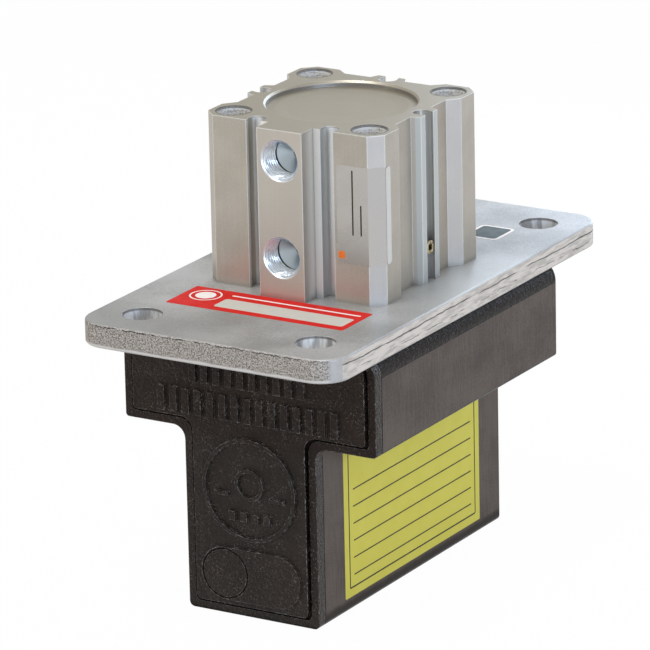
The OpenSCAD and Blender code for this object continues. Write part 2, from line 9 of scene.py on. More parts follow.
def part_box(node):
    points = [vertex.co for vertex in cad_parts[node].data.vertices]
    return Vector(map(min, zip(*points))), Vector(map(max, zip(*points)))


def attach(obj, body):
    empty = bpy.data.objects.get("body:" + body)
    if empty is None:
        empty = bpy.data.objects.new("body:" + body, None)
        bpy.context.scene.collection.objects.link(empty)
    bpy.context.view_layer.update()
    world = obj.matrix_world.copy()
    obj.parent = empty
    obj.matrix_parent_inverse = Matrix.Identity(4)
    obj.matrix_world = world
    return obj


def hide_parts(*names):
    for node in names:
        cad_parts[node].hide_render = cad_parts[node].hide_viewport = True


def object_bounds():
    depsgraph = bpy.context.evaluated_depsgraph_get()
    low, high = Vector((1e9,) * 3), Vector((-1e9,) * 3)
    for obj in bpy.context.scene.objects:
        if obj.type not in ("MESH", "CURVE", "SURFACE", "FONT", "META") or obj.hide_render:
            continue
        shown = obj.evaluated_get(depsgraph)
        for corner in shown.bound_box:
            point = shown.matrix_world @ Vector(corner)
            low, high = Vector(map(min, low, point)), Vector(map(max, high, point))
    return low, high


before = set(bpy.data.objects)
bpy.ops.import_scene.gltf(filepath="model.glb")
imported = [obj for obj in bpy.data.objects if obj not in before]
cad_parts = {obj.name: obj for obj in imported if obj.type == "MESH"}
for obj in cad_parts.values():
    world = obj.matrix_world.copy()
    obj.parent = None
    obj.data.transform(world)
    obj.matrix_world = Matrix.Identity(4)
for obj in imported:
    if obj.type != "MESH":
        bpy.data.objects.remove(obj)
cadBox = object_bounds()
mm = 0.001
fixedBody = "frame"
plateBottom, plateTop = (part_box("mounting_plate")[i].z / mm for i in (0, 1))
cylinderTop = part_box("cylinder_body")[1].z / mm
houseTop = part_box("housing")[1].z / mm


def linearColour(hexText):
    # sRGB hex to the linear values that a shader takes
    parts = [int(hexText[i : i + 2], 16) / 255 for i in (1, 3, 5)]
    return tuple(c / 12.92 if c < 0.04045 else ((c + 0.055) / 1.055) ** 2.4 for c in parts) + (1.0,)


def addNode(tree, kind, inputs=None, **settings):
    # a node with its settings, its input values and its links
    node = tree.nodes.new(kind)
    for name, value in settings.items():
        setattr(node, name, value)
    for name, value in (inputs or {}).items():
        if isinstance(value, bpy.types.NodeSocket):
            tree.links.new(value, node.inputs[name])
        else:
            node.inputs[name].default_value = value
    return node


def clearTree(owner):
    # the node tree of a material or a world, emptied
    owner.use_nodes = True
    owner.node_tree.nodes.clear()
    return owner.node_tree


def startMaterial(name, **shader):
    # a material with one Principled shader, object coordinates and the direction that each face looks
    material = bpy.data.materials.new(name)
    tree = clearTree(material)
    surface = addNode(tree, "ShaderNodeBsdfPrincipled", shader)
    addNode(tree, "ShaderNodeOutputMaterial", {"Surface": surface.outputs["BSDF"]})
    place = addNode(tree, "ShaderNodeTexCoord")
    face = addNode(tree, "ShaderNodeNewGeometry")
    return material, tree, surface, place.outputs["Object"], face.outputs["True Normal"]


def grain(tree, place, sizeMm, detail=2.0, roughness=0.5):
    # noise whose grains measure sizeMm along X, Y and Z
    size = sizeMm if isinstance(sizeMm, tuple) else (sizeMm,) * 3
    scale = tuple(1000 / s for s in size)
    scaled = addNode(tree, "ShaderNodeMapping", {"Vector": place, "Scale": scale})
    noise = addNode(tree, "ShaderNodeTexNoise", {
        "Vector": scaled.outputs["Vector"], "Scale": 1.0, "Detail": detail, "Roughness": roughness})
    return noise.outputs["Fac"]


def between(tree, value, low, high, toLow=0.0, toHigh=1.0):
    # value from low..high carried to toLow..toHigh, smooth at both ends
    node = addNode(tree, "ShaderNodeMapRange", {
        "Value": value, "From Min": low, "From Max": high, "To Min": toLow, "To Max": toHigh},
        interpolation_type="SMOOTHSTEP")
    return node.outputs["Result"]


def calculate(tree, operation, *values):
    # one operation carried through its values
    result = values[0]
    for value in values[1:]:
        node = addNode(tree, "ShaderNodeMath", {0: result, 1: value}, operation=operation)
        result = node.outputs["Value"]
    return result


def product(tree, *values):
    return calculate(tree, "MULTIPLY", *values)


def larger(tree, *values):
    return calculate(tree, "MAXIMUM", *values)


def minus(tree, first, second):
    return calculate(tree, "SUBTRACT", first, second)


def absolute(tree, value):
    return addNode(tree, "ShaderNodeMath", {0: value}, operation="ABSOLUTE").outputs["Value"]


def weighted(tree, *pairs):
    # a sum of patterns, each with its weight
    return calculate(tree, "ADD", *(product(tree, pattern, weight) for pattern, weight in pairs))


def radiusOf(tree, first, second):
    # how far a point lies from where first and second are 0
    squares = calculate(tree, "ADD", product(tree, first, first), product(tree, second, second))
    return addNode(tree, "ShaderNodeMath", {0: squares}, operation="SQRT").outputs["Value"]


def split(tree, vector):
    parts = addNode(tree, "ShaderNodeSeparateXYZ", {"Vector": vector})
    return parts.outputs["X"], parts.outputs["Y"], parts.outputs["Z"]


def within(tree, value, low, high, soft=0.1):
    # 1 where value, in metres, lies between low and high, in mm, and 0 outside
    return product(tree, between(tree, value, low * mm, (low + soft) * mm),
                   between(tree, value, high * mm, (high - soft) * mm))


def blendColours(tree, factor, first, second):
    # first where factor is 0, second where it is 1
    node = addNode(tree, "ShaderNodeMix", {"Factor": factor, 6: first, 7: second}, data_type="RGBA")
    return node.outputs[2]


def paint(tree, colour, factor, hexText):
    # the colour, covered by another where factor is 1
    return blendColours(tree, factor, colour, linearColour(hexText))


def mottle(tree, pattern, low, high, first, second):
    # first where the pattern is low, second where it is high
    factor = between(tree, pattern, low, high)
    return blendColours(tree, factor, linearColour(first), linearColour(second))


def feed(tree, surface, **sockets):
    for name, value in sockets.items():
        tree.links.new(value, surface.inputs[name.replace("_", " ")])


def addBump(tree, surface, height, depthMm):
    bump = addNode(tree, "ShaderNodeBump", {"Height": height, "Distance": depthMm * mm, "Strength": 1.0})
    feed(tree, surface, Normal=bump.outputs["Normal"])


def cornersOf(tree, edgeMm, creviceMm, opened=0.75, closed=0.30):
    # two factors: 1 on a sharp edge, for an edge colour that is mostly a painted highlight, and 1 deep
    # in a crevice, found by occlusion, for painted shade
    bevel = addNode(tree, "ShaderNodeBevel", {"Radius": edgeMm * mm}, samples=6)
    face = addNode(tree, "ShaderNodeNewGeometry")
    match = addNode(tree, "ShaderNodeVectorMath", {
        0: bevel.outputs["Normal"], 1: face.outputs["Normal"]}, operation="DOT_PRODUCT")
    hollow = addNode(tree, "ShaderNodeAmbientOcclusion", {"Distance": creviceMm * mm}, samples=8)
    crevice = between(tree, hollow.outputs["AO"], opened, closed)
    edge = between(tree, match.outputs["Value"], 0.99, 0.93)
    return product(tree, edge, minus(tree, 1.0, crevice)), crevice


print("materials")

# in each look: colours as sRGB, grains in mm along X, Y and Z
# in this look, the dark shade colour and the rim and recess colours are painted shade; the chamfer and
# lip colours are painted reflections; the cone, flank, front lip, inside and ring colours are painted
# light; edge is a painted highlight
anodisedLook = {
    "light": "#bab3a7", "dark": "#afa89c", "faced": "#a59d8b", "edge": "#f1f2f1", "paintedShade": "#48443f",
    "chamfer": "#bcbab8", "boss": "#c4bdb2", "flank": "#cbc8c0", "recess": "#96928b", "lip": "#bdc1bf",
    "frontLip": "#e8e6e0", "inside": "#e6ebee", "cone": "#ccd9e0", "rimLine": "#4f4b45",
    "ringLight": "#f4f2ed", "ringDark": "#bab6ae", "ringMm": 0.5, "cloudMm": 11.0, "pitMm": 0.35,
    "dieLineMm": (0.5, 0.5, 60.0), "roughness": 0.43, "insideRough": 0.34,
    "slotShare": 0.7, "sideShare": 0.6,
}

# the cylinder's body in mm, counted from its axis, or down from its top where the name says below
bodyShape = {
    "bossHalf": 6.6, "bossFace": 31.0, "portHalf": 5.4, "threadEnd": 24.75, "cone": 25.6,
    "slotHalf": 2.6, "slotFloor": 20.8, "slotMouth": 25.2, "slotOuter": 12.9,
    "lipInner": 2.0, "lipOuter": 6.4, "lipFloor": 24.3, "lipFace": 26.4,
    "frontLipInner": 6.7, "frontLipOuter": 8.9, "frontLipBack": 25.1, "frontLipFace": 25.7,
    "post": 20.0, "counterbore": 4.6, "mouthInner": 4.35, "mouthOuter": 4.86,
    "recessInner": 18.0, "recessOuter": 22.2, "edgeBelow": (0.35, 0.45), "mouthBelow": (0.30, 0.15),
    "rimBelow": (0.65, 0.20), "recessBelow": (3.0, 2.6),
}


def belowTop(tree, z, name):
    # 0 at the first depth under the cylinder's top, 1 at the second
    first, second = bodyShape[name]
    return between(tree, z, (cylinderTop - first) * mm, (cylinderTop - second) * mm)


def bodyZones(tree, place, upright, sideways):
    # one factor for each zone of the cylinder's body that gets a colour of its own, painted light and
    # painted shade among them
    spec = bodyShape
    x, y, z = split(tree, place)
    acrossX, acrossY = absolute(tree, x), absolute(tree, y)
    below = belowTop(tree, z, "edgeBelow")
    mouth, floor, half = spec["slotMouth"], spec["slotFloor"], spec["slotHalf"]
    zones = {}

    # the ports, their drill points painted a light blue as painted light, and the ends of their threads
    # darkened as painted shade
    port = product(tree, within(tree, acrossX, -1.0, spec["portHalf"]),
                   within(tree, y, -spec["bossFace"] + 0.05, -floor))
    pastThread = between(tree, y, -spec["cone"] * mm, (0.2 - spec["cone"]) * mm)
    zones["cone"] = product(tree, port, below, pastThread)
    zones["threadEnd"] = product(
        tree, port, within(tree, y, -spec["threadEnd"], 0.5 - spec["threadEnd"]), below)

    # the counterbores, with painted shade as a dark line under the rim and another round the mouth
    radius = radiusOf(tree, *(minus(tree, v, spec["post"] * mm) for v in (acrossX, acrossY)))
    bore = within(tree, radius, -1.0, spec["counterbore"])
    zones["bore"] = product(tree, bore, upright)
    rimLow, rimHigh = (cylinderTop - depth for depth in spec["rimBelow"])
    zones["rimLine"] = product(tree, zones["bore"], within(tree, z, rimLow, rimHigh))
    zones["mouthRing"] = product(tree, within(tree, radius, spec["mouthInner"], spec["mouthOuter"]),
                                 belowTop(tree, z, "mouthBelow"))

    # the sensor slots, and beside the boss everything behind the slot's mouth: with the ports and
    # counterbores, lightened as painted light where shade falls
    slotX = product(tree, within(tree, acrossY, -1.0, half), within(tree, acrossX, floor, mouth))
    slotY = product(tree, within(tree, acrossX, -1.0, half), within(tree, y, floor, mouth))
    behind = larger(tree, sideways, between(tree, y, -mouth * mm, (0.3 - mouth) * mm))
    bossSide = product(tree, within(tree, acrossX, spec["bossHalf"] + 0.2, spec["slotOuter"]),
                       within(tree, y, -spec["bossFace"], -floor), behind)
    slots = larger(tree, bossSide, product(tree, anodisedLook["sideShare"], larger(tree, slotX, slotY)))
    walls = product(tree, upright, larger(tree, bore, product(tree, slots, anodisedLook["slotShare"])))
    zones["inside"] = product(tree, larger(tree, port, walls), below)

    # the lips of the slots and those beside the boss, the boss's face and its flanks: the lips a cool
    # painted reflection, the front lips painted light, the flanks painted light that grows inwards
    lipX = product(tree, within(tree, acrossY, spec["lipInner"], spec["lipOuter"]),
                   within(tree, acrossX, spec["lipFloor"], spec["lipFace"]))
    lipY = product(tree, within(tree, acrossX, spec["lipInner"], spec["lipOuter"]),
                   within(tree, y, spec["lipFloor"], spec["lipFace"]))
    zones["lip"] = product(tree, larger(tree, lipX, lipY), upright)
    zones["frontLip"] = product(
        tree, within(tree, acrossX, spec["frontLipInner"], spec["frontLipOuter"]),
        within(tree, y, -spec["frontLipFace"], -spec["frontLipBack"]), upright)
    zones["boss"] = between(
        tree, y, (0.4 - spec["bossFace"]) * mm, (0.2 - spec["bossFace"]) * mm, 0.0, 0.6)
    zones["flank"] = product(
        tree, within(tree, acrossX, spec["bossHalf"] - 0.15, spec["bossHalf"] + 0.2),
        between(tree, y, -(spec["bossFace"] + 0.6) * mm, (4.0 - spec["bossFace"]) * mm), below, upright,
        between(tree, y, (0.2 - mouth) * mm, -mouth * mm))

    # the wall round the dished top, darkened as painted shade
    zones["recess"] = product(
        tree, within(tree, radiusOf(tree, x, y), spec["recessInner"], spec["recessOuter"]),
        belowTop(tree, z, "recessBelow"), upright)
    return zones


def anodisedAluminium():
    # clear-anodised extrusion: a soft warm satin with faint die lines along its length, painted lighter
    # inside its grooves and holes as painted light where shade falls
    look = anodisedLook
    material, tree, surface, place, normal = startMaterial("anodisedAluminium", Metallic=0.8)
    facingX, facingY, facingZ = split(tree, normal)
    upright = between(tree, absolute(tree, facingZ), 0.6, 0.3)
    sideways = between(tree, absolute(tree, facingY), 0.7, 0.5)
    zones = bodyZones(tree, place, upright, sideways)
    edge, crevice = cornersOf(tree, 0.42, 3.2)
    lines = grain(tree, place, look["dieLineMm"], detail=1.0)
    pits = grain(tree, place, look["pitMm"], detail=3.0)
    tone = weighted(tree, (grain(tree, place, look["cloudMm"]), 0.5), (lines, 0.12), (pits, 0.38))
    colour = mottle(tree, tone, 0.38, 0.62, look["light"], look["dark"])
    colour = blendColours(tree, upright, linearColour(look["faced"]), colour)

    # two of the four corner chamfers, the +X-Y and the -X+Y ones, are cooler: a painted reflection of
    # cool light
    chamferReflectionMask = between(tree, product(tree, facingX, facingY), -0.30, -0.42, 0.0, 0.45)
    colour = paint(tree, colour, chamferReflectionMask, look["chamfer"])
    # the boss face in its own lighter tone; the lips as a painted reflection; the zones inside, the
    # front lips and the flanks as painted light; the recess wall as painted shade
    for zone in ("boss", "lip", "inside", "flank", "recess", "frontLip"):
        colour = paint(tree, colour, zones[zone], look[zone])
    # painted highlight: a light line along sharp edges, strongest where the face is upright
    edgeHighlight = product(tree, edge, between(tree, upright, 0.0, 1.0, 0.25, 0.85))
    colour = paint(tree, colour, edgeHighlight, look["edge"])
    # painted shade: darker in crevices found by occlusion, less where painted light is
    sheltered = larger(tree, zones["inside"], zones["frontLip"])
    paintedCreviceShade = product(tree, crevice, between(tree, sheltered, 0.0, 1.0, 0.55, 0.25))
    colour = paint(tree, colour, paintedCreviceShade, look["paintedShade"])

    # turned rings down the counterbores, light enough to stand in as painted light down the bore
    rings = weighted(tree, (grain(tree, place, (6.0, 6.0, look["ringMm"]), detail=2.0), 0.5),
                     (grain(tree, place, look["ringMm"], detail=3.0), 0.5))
    turned = mottle(tree, rings, 0.40, 0.54, look["ringDark"], look["ringLight"])
    colour = blendColours(tree, product(tree, zones["bore"], 0.9), colour, turned)
    # painted shade: a dark line under the counterbore's rim
    colour = paint(tree, colour, product(tree, zones["rimLine"], 0.75), look["rimLine"])
    # painted light: the drill points a light blue
    colour = paint(tree, colour, zones["cone"], look["cone"])
    # painted shade: a dark ring where each thread ends
    colour = paint(tree, colour, zones["threadEnd"], look["paintedShade"])
    # painted shade: a dark ring round each counterbore's mouth
    colour = paint(tree, colour, product(tree, zones["mouthRing"], 0.85), look["rimLine"])
    rough = calculate(tree, "ADD", between(tree, lines, 0.3, 0.7, -0.02, 0.02), between(
        tree, zones["inside"], 0.0, 1.0, look["roughness"], look["insideRough"]))
    feed(tree, surface, Base_Color=colour, Roughness=rough,
         Metallic=between(tree, zones["bore"], 0.0, 1.0, 0.8, 0.4))
    addBump(tree, surface, weighted(tree, (lines, 0.35), (pits, 1.0)), 0.008)
    return material


# in this look, the front and far-right colours are painted shade and painted light, the dark shade
# colour is painted shade, and edge is partly rubbed metal, partly a painted highlight
plateLook = {
    "light": "#b3b1ad", "dark": "#96948f", "roughness": 0.50, "cloudMm": 17.0, "fineMm": 0.4,
    "frontShade": "#8f8e8a", "rightLight": "#c9c9c4", "edge": "#d6d4d0", "paintedShade": "#6a6660",
    "holeLight": "#e6e6e4", "holeDark": "#9f9d9a", "reamedMm": (2.2, 2.2, 9.0),
    "sawnLight": "#bfb9b0", "sawnDark": "#675f56", "sawnMm": 0.39, "burr": "#35322f",
    "rounded": "#cdcac5", "shearLight": "#d9d1c7", "shearDark": "#beb7ad", "tear": "#6a665f",
    "streakMm": (0.8, 5.0, 0.9),
}

# where the plate's finish, its painted shade at the front and its painted light at the right change, in
# mm: a value for 0 and a value for 1
plateZones = {"frontShadeY": (-44, -62), "frontShadeX": (12, -10), "rightLightX": (8, 34), "rightLightFront": (-45, 0),
              "rightLightBack": (34, 6), "side": (36, 37), "end": (67, 68), "holeX": 31.0, "holeY": 64.0}


def plateZone(tree, value, zone, strength=1.0):
    low, high = plateZones[zone]
    return between(tree, value, low * mm, high * mm, 0.0, strength)


def tornLine(tree, level, middleMm, widthMm, patch):
    # a thin line where the wandering height passes middleMm, broken up by patch
    distance = absolute(tree, minus(tree, level, middleMm * mm))
    return product(tree, between(tree, distance, widthMm * mm, widthMm * 0.35 * mm), patch)


def wandering(tree, place, height, sizeMm, swingMm):
    # the height moved up and down by slow noise
    swing = minus(tree, grain(tree, place, sizeMm, detail=3.0), 0.5)
    return calculate(tree, "ADD", height, product(tree, swing, 2 * swingMm * mm))


def tumbledAluminium():
    # mill plate, tumbled: fine satin speckle on its faces, a grainy sawn edge at each end with a burr
    # along its top, and long torn lines along the sheared sides
    look = plateLook
    material, tree, surface, place, normal = startMaterial("tumbledAluminium", Metallic=0.5)
    x, y, z = split(tree, place)
    acrossX, acrossY = absolute(tree, x), absolute(tree, y)
    facingX, facingY, facingZ = (absolute(tree, v) for v in split(tree, normal))
    fine = grain(tree, place, look["fineMm"], detail=3.0)
    tone = weighted(tree, (grain(tree, place, look["cloudMm"], detail=4.0), 0.66), (fine, 0.34))
    flat = mottle(tree, tone, 0.36, 0.64, look["light"], look["dark"])

    # painted shade along the front, and painted light at the far right
    frontShade = product(tree, plateZone(tree, y, "frontShadeY", 0.6), plateZone(tree, x, "frontShadeX"))
    flat = paint(tree, flat, frontShade, look["frontShade"])
    rightLight = product(tree, plateZone(tree, x, "rightLightX", 0.6), plateZone(tree, y, "rightLightFront"),
                    plateZone(tree, y, "rightLightBack"))
    flat = paint(tree, flat, rightLight, look["rightLight"])

    # walls of the holes: bright cut metal, with painted shade under the rim
    inner = product(
        tree, between(tree, facingZ, 0.6, 0.3), within(tree, acrossX, -1.0, plateZones["holeX"]),
        within(tree, acrossY, -1.0, plateZones["holeY"]))
    reamed = grain(tree, place, look["reamedMm"])
    wall = mottle(tree, reamed, 0.36, 0.60, look["holeDark"], look["holeLight"])
    rim = between(tree, z, (plateTop - 0.9) * mm, (plateTop - 0.5) * mm, 0.0, 0.8)
    wall = paint(tree, wall, rim, look["paintedShade"])
    flat = blendColours(tree, inner, flat, wall)
    edge, crevice = cornersOf(tree, 0.3, 3.0)

    # sawn ends: fine speckle, a dark uneven burr under the top edge, a smooth rounded lower edge
    speckle = grain(tree, place, look["sawnMm"], detail=4.0, roughness=0.65)
    sawn = mottle(tree, speckle, 0.36, 0.62, look["sawnDark"], look["sawnLight"])
    patch = between(tree, grain(tree, place, 3.2), 0.38, 0.55)
    burr = tornLine(tree, wandering(tree, place, z, 1.3, 0.5), plateTop - 0.5, 0.17, patch)
    sawn = paint(tree, sawn, burr, look["burr"])
    lowEdge = between(tree, wandering(tree, place, z, 6.0, 0.4), (plateBottom + 1.25) * mm,
                      (plateBottom + 0.75) * mm)
    sawn = paint(tree, sawn, lowEdge, look["rounded"])

    # sheared sides: light metal with a broad torn line above and a fine one below
    streak = grain(tree, place, look["streakMm"], detail=4.0)
    shear = mottle(tree, streak, 0.36, 0.6, look["shearDark"], look["shearLight"])
    broad = tornLine(
        tree, wandering(tree, place, z, (4.0, 9.0, 4.0), 0.8), plateTop - 2.1, 0.22,
        between(tree, grain(tree, place, (9.0, 17.0, 9.0)), 0.30, 0.42))
    thin = tornLine(
        tree, wandering(tree, place, z, (3.0, 5.0, 3.0), 0.9), plateBottom + 1.9, 0.10,
        between(tree, grain(tree, place, (4.0, 5.0, 4.0)), 0.47, 0.56))
    tears = larger(tree, broad, thin)
    shear = paint(tree, shear, tears, look["tear"])

    onSide = product(tree, between(tree, facingX, 0.9, 0.985), plateZone(tree, acrossX, "side"))
    onEnd = product(tree, between(tree, facingY, 0.5, 0.85), plateZone(tree, acrossY, "end"))
    colour = blendColours(tree, onEnd, blendColours(tree, onSide, flat, shear), sawn)
    # bright edges: partly rubbed metal, partly a painted highlight
    edgeWearAndHighlight = product(tree, edge, between(tree, grain(tree, place, 4.0, detail=3.0), 0.4, 0.62, 0.0, 0.6))
    colour = paint(tree, colour, edgeWearAndHighlight, look["edge"])
    # painted shade: darker in crevices found by occlusion
    colour = paint(tree, colour, product(tree, crevice, 0.4), look["paintedShade"])
    cut = larger(tree, onEnd, product(tree, onSide, 0.5))
    polish = between(tree, fine, 0.3, 0.7, look["roughness"] - 0.04, look["roughness"] + 0.04)
    feed(tree, surface, Base_Color=colour, Roughness=weighted(tree, (cut, 0.16), (polish, 1.0)))
    endHeight = minus(tree, product(tree, speckle, minus(tree, 1.0, lowEdge)), product(tree, burr, 0.7))
    sideHeight = minus(tree, product(tree, streak, 0.5), product(tree, tears, 0.8))
    addBump(tree, surface, weighted(tree, (onEnd, endHeight), (onSide, sideHeight), (fine, 0.07)), 0.18)
    return material


housingLook = {
    "sanded": "#4e453f", "sandedSpot": "#62584f", "sandedRough": 0.55, "edge": "#2a2624",
    "dust": "#4f4944", "skin": "#120e0c", "skinRough": 0.27, "sheen": "#f4e6dc", "hollow": "#2a2623",
    "browMm": 4.4, "footMm": (4.2, 2.2), "speckleMm": 0.45, "cloudMm": (9.0, 16.0, 9.0),
    "scratchMm": (0.5, 0.5, 9.0),
}


def sandedPolyurethane():
    # cast polyurethane, black: sides sanded to a dull grey-brown, the brow left as moulded and glossy
    look = housingLook
    material, tree, surface, place, normal = startMaterial(
        "sandedPolyurethane", **{"Specular IOR Level": 0.16})
    height = split(tree, place)[2]
    speckle = grain(tree, place, look["speckleMm"], detail=3.0)
    cloud = grain(tree, place, look["cloudMm"])
    scratch = grain(tree, place, look["scratchMm"], detail=3.0)
    tone = weighted(tree, (speckle, 0.35), (cloud, 0.35), (scratch, 0.3))
    sanded = mottle(tree, tone, 0.38, 0.62, look["sanded"], look["sandedSpot"])
    footTop, footLow = look["footMm"]
    foot = between(tree, wandering(tree, place, height, 5.0, 0.6), footTop * mm, footLow * mm, 0.0, 0.75)
    sanded = paint(tree, sanded, foot, look["skin"])
    onSide = between(tree, absolute(tree, split(tree, normal)[0]), 0.97, 0.995)
    brow = houseTop - look["browMm"]
    below = between(tree, wandering(tree, place, height, 2.0, 0.15), brow * mm, (brow - 0.12) * mm)
    area = product(tree, onSide, below)

    # the skin shows light specks where bubbles broke through it
    bubbles = between(tree, grain(tree, place, look["speckleMm"]), 0.58, 0.70, 0.0, 0.6)
    skin = paint(tree, linearColour(look["skin"]), bubbles, look["dust"])
    edge, crevice = cornersOf(tree, 0.3, 1.5)
    colour = blendColours(tree, area, skin, sanded)
    colour = paint(tree, colour, product(tree, edge, 0.5), look["edge"])
    # painted shade: the sheen darkened in crevices found by occlusion
    sheen = paint(tree, linearColour(look["sheen"]), crevice, look["hollow"])
    feed(tree, surface, Base_Color=colour, Specular_Tint=sheen,
         Roughness=between(tree, area, 0.0, 1.0, look["skinRough"], look["sandedRough"]))
    lumps = grain(tree, place, 1.1, detail=4.0, roughness=0.6)
    addBump(tree, surface, weighted(tree, (speckle, 0.3), (lumps, minus(tree, 1.0, area))), 0.15)
    return material


# in the cap's look, edge is a painted highlight, sheenHigh and hollow are painted shade in the sheen,
# and speck is partly painted glints
capLook = {
    "skin": "#0d0906", "spots": "#19120d", "edge": "#bab3ad", "speck": "#5a544c", "roughness": 0.17,
    "sheen": "#f6e8de", "sheenHigh": "#dcc4b8", "hollow": "#26221f", "highMm": 42.0, "chalkMm": 20.0,
    "lumpMm": 0.9, "cloudMm": 9.0, "speckMm": 0.42, "glintMm": 1.1,
}


def mouldedPolyurethane():
    # the same resin with its skin on: near black, glossy and slightly brown, lumpy from the mould
    look = capLook
    material, tree, surface, place, _ = startMaterial(
        "mouldedPolyurethane", **{"Specular IOR Level": 0.30})
    height = split(tree, place)[2]
    lumps = grain(tree, place, look["lumpMm"], detail=4.0, roughness=0.62)
    colour = mottle(tree, grain(tree, place, look["cloudMm"]), 0.4, 0.65, look["skin"], look["spots"])

    # light specks in patches, and more of them low down: partly chalky dust, partly painted glints
    speck = between(tree, grain(tree, place, look["speckMm"]), 0.58, 0.68)
    chalk = between(tree, height, look["chalkMm"] * mm, (look["chalkMm"] - 3.0) * mm, 0.0, 0.35)
    patch = larger(tree, chalk, between(tree, grain(tree, place, 5.0), 0.40, 0.65, 0.05, 0.8))
    colour = paint(tree, colour, product(tree, speck, patch), look["speck"])
    edge, crevice = cornersOf(tree, 0.30, 1.7, 0.93, 0.50)
    # painted highlights: broken light glints along the sharp edges
    glintBreaks = between(tree, grain(tree, place, look["glintMm"], detail=3.0), 0.45, 0.66, 0.12, 1.0)
    colour = paint(tree, colour, product(tree, edge, glintBreaks), look["edge"])
    # painted shade: a duller sheen from highMm up, under the plate, and a darker one in crevices
    sheen = mottle(tree, height, look["highMm"] * mm, (look["highMm"] + 8.0) * mm,
                   look["sheen"], look["sheenHigh"])
    sheen = paint(tree, sheen, crevice, look["hollow"])
    polish = between(tree, lumps, 0.3, 0.7, look["roughness"] - 0.05, look["roughness"] + 0.08)
    feed(tree, surface, Base_Color=colour, Specular_Tint=sheen, Roughness=polish)
    addBump(tree, surface, lumps, 0.42)
    return material


def plainFinish(name, hexText, roughness, grainMm, variation, bumpMm, spots, **shader):
    # one colour whose shade and polish vary a little over its grain
    material, tree, surface, place, _ = startMaterial(name, **shader)
    base = linearColour(hexText)
    shade = tuple(c * spots for c in base[:3]) + (1.0,)
    pattern = grain(tree, place, grainMm)
    feed(tree, surface, Base_Color=blendColours(tree, between(tree, pattern, 0.35, 0.65), base, shade),
         Roughness=between(tree, pattern, 0.3, 0.7, roughness - variation, roughness + variation))
    addBump(tree, surface, pattern, bumpMm)
    return material


def metalFinish(name, hexText, roughness, grainMm, variation=0.05, bumpMm=0.01, spots=0.82):
    return plainFinish(name, hexText, roughness, grainMm, variation, bumpMm, spots, Metallic=1.0)


def plasticFinish(name, hexText, roughness, grainMm, spots=0.9, bumpMm=0.01, specular=0.5):
    # a plastic, a rubber or a printed film
    return plainFinish(
        name, hexText, roughness, grainMm, 0.05, bumpMm, spots, **{"Specular IOR Level": specular})


tappedLook = {"crest": "#e6ecef", "crestDark": "#c4ccd2", "root": "#5d676d", "cutMm": (0.8, 0.15, 0.8)}


def tappedAluminium():
    # a cut thread: bright bare crests, with painted shade in the roots where occlusion finds them
    look = tappedLook
    material, tree, surface, place, _ = startMaterial(
        "tappedAluminium", Metallic=0.85, Roughness=0.28)
    hollow = addNode(tree, "ShaderNodeAmbientOcclusion", {"Distance": 0.5 * mm}, samples=12)
    roots = between(tree, hollow.outputs["AO"], 0.85, 0.45)
    cut = grain(tree, place, look["cutMm"])
    bright = mottle(tree, cut, 0.35, 0.65, look["crest"], look["crestDark"])
    feed(tree, surface, Base_Color=paint(tree, bright, roots, look["root"]))
    addBump(tree, surface, cut, 0.01)
    return material


finishes = {
    "anodised": anodisedAluminium(),
    "plate": tumbledAluminium(),
    "housing": sandedPolyurethane(),
    "cap": mouldedPolyurethane(),
    # bright metal with fine turning marks
    "turned": metalFinish("turnedAluminium", "#d2d3d2", 0.25, (0.3, 0.3, 6.0)),
    "tapped": tappedAluminium(),
    # grey plating with a dull sparkle
    "zinc": metalFinish("zincPlatedSteel", "#a9aaa8", 0.32, 0.8),
    # nearly black and satin
    "blackSteel": metalFinish("phosphatedSpringSteel", "#4b4a49", 0.42, 0.5),
    # close to a mirror, with faint polishing lines
    "chrome": metalFinish("hardChromedSteel", "#cfcfcf", 0.12, (0.4, 0.4, 5.0), 0.03, 0.004),
    # grey, with the fine lines of a grinding wheel
    "poleSteel": metalFinish("groundMildSteel", "#9d9c9a", 0.36, (0.5, 30.0, 0.5), 0.03, 0.002, 0.93),
    # warm plating, softly mottled
    "nickel": metalFinish("nickelPlatedMagnet", "#b9b5aa", 0.24, 1.2),
    # dull gold with bright and dark spots, which stand in as painted glints
    "brass": metalFinish("turnedBrass", "#d8cba2", 0.24, 0.9, spots=0.25),
    # brown, dull and porous
    "bronze": metalFinish("sinteredBronze", "#9b7650", 0.5, 0.3, 0.08, 0.02),
    # black and matt
    "rubber": plasticFinish("nitrileRubber", "#1b1b1b", 0.62, 0.4, 0.8, 0.015),
    # off-white and waxy
    "glide": plasticFinish("glideStripPlastic", "#dcdcd4", 0.45, 1.5),
    # printed films: flat even colour under a soft haze
    "redFilm": plasticFinish("redVinylFilm", "#ca231c", 0.55, 3.0, 0.95, specular=0.1),
    "yellowFilm": plasticFinish("yellowVinylFilm", "#d2c64f", 0.5, 5.0, 0.98, specular=0.25),
    "paleFilm": plasticFinish("palePolyesterFilm", "#c3beb2", 0.5, 3.0, 0.97, specular=0.15),
    "clearFilm": plasticFinish("clearPolyesterFilm", "#d3cec2", 0.5, 3.0, 0.98, specular=0.15),
    "darkFilm": plasticFinish("darkVinylFilm", "#4b5452", 0.5, 3.0, 0.9, specular=0.2),
    # inks: thin, even and a little duller than the film
    "whiteInk": plasticFinish("whitePrintInk", "#ece4dc", 0.5, 1.0, 0.95, specular=0.15),
    "darkInk": plasticFinish("darkPrintInk", "#35311f", 0.5, 1.0, 0.85, specular=0.25),
    "orangeInk": plasticFinish("orangePrintInk", "#e2701d", 0.5, 1.0, 0.92),
    # a metal film that mirrors the room softly
    "silverFilm": metalFinish("silverPolyesterFilm", "#bab7b2", 0.27, 6.0, 0.02, 0.002, 0.97),
}

